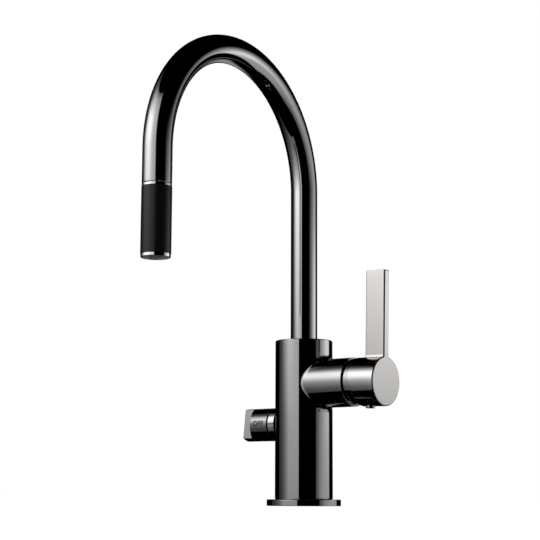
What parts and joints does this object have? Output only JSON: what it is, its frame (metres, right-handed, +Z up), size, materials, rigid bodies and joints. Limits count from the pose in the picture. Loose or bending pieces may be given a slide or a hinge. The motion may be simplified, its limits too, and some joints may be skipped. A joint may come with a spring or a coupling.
{
  "type": "pull-out kitchen mixer tap",
  "caption": "Tall single-lever kitchen mixer with a round arch spout, a pull-out spray on a hose, a side handle and a side shut-off knob for an appliance feed.",
  "frame": {"origin": "centre of the base flange's underside, on the worktop", "axes": "+Z up the column, handle barrel towards +X, shut-off knob towards -X, spout towards -Y and turned 4 degrees to the handle, as pictured"},
  "size_m": [0.1473, 0.2501, 0.4486],
  "materials": {
    "black_chrome": "polished black chrome on brass",
    "bright_chrome": "polished chrome",
    "matte_black": "soft matte black",
    "brass": "machined brass",
    "steel": "plain steel",
    "rubber": "moulded rubber",
    "hose_black": "braided nylon over rubber",
    "white_plastic": "moulded acetal",
    "grey_plastic": "moulded plastic",
    "ceramic": "lapped alumina"
  },
  "bodies": {
    "base": {"base_flange": "black_chrome", "deck_gasket": "rubber", "mounting_shank": "brass", "body_casting": "black_chrome", "handle_barrel": "black_chrome", "spout_bush_lower": "white_plastic", "spout_bush_upper": "white_plastic", "gland_ring": "black_chrome", "spout_stop_screw": "steel", "cartridge_seal": "rubber", "cartridge_housing": "white_plastic", "cartridge_fixed_disc": "ceramic", "cartridge_nut": "brass", "cover_ring": "black_chrome", "index_collar": "black_chrome", "shutoff_headpart": "brass", "shutoff_fixed_disc": "ceramic"},
    "fixing_set": {"clamp_washer_rubber": "rubber", "clamp_washer_steel": "steel", "fixing_nut": "brass"},
    "spout": {"spout_tube": "black_chrome", "spout_foot": "brass", "docking_sleeve": "white_plastic", "spout_hose": "hose_black", "hose_coupling": "brass"},
    "hose_end": {"hose_lead": "hose_black", "hose_ferrule": "brass"},
    "spray_head": {"spray_core": "white_plastic", "check_valve": "white_plastic", "spray_sleeve": "matte_black", "spray_collar_ring": "bright_chrome", "nozzle_ring": "bright_chrome", "aerator_housing": "grey_plastic", "aerator_screen": "grey_plastic", "hose_nut": "brass", "hose_washer": "rubber"},
    "cartridge_rotor": {"cartridge_turret": "white_plastic", "pivot_pin": "steel"},
    "cartridge_disc": {"cartridge_moving_disc": "ceramic", "disc_carrier": "white_plastic"},
    "handle": {"handle_lever": "black_chrome", "lever_spindle": "steel", "handle_grub_screw": "steel", "handle_plug": "black_chrome"},
    "shutoff": {"shutoff_knob": "black_chrome", "shutoff_spindle": "brass", "shutoff_turning_disc": "ceramic", "knob_screw": "steel"}
  },
  "joints": [
    {"name": "spout_swivel", "type": "hinge", "parent": "base", "child": "spout", "pos_m": [0, 0, 0], "axis": [0, 0, 1], "range_deg": [-64, 56]},
    {"name": "spray_pull", "type": "slide", "parent": "spout", "child": "hose_end", "axis": [0, 0, -1], "range_m": [0, 0.17], "deforming": ["hose_lead"]},
    {"name": "spray_turn", "type": "hinge", "parent": "hose_end", "child": "spray_head", "pos_m": [0.01442, -0.2062, 0.2], "axis": [0, 0, 1], "continuous": true},
    {"name": "handle_temperature", "type": "hinge", "parent": "base", "child": "cartridge_rotor", "pos_m": [0, 0, 0.1042], "axis": [1, 0, 0], "range_deg": [-50, 50]},
    {"name": "handle_flow", "type": "hinge", "parent": "cartridge_rotor", "child": "handle", "pos_m": [0.044, 0, 0.1042], "axis": [0, 1, 0], "range_deg": [0, 18]},
    {"name": "disc_slide", "type": "slide", "parent": "cartridge_rotor", "child": "cartridge_disc", "axis": [0, 0, 1], "range_m": [0, 0.0034]},
    {"name": "shutoff_turn", "type": "hinge", "parent": "base", "child": "shutoff", "pos_m": [0, 0, 0.0704], "axis": [1, 0, 0], "range_deg": [0, 90]},
    {"name": "fixing_nut_travel", "type": "slide", "parent": "base", "child": "fixing_set", "axis": [0, 0, -1], "range_m": [0, 0.1]}
  ],
  "couplings": [
    {"joint": "disc_slide", "follows": "handle_flow", "m_per_rad": 0.0105}
  ]
}
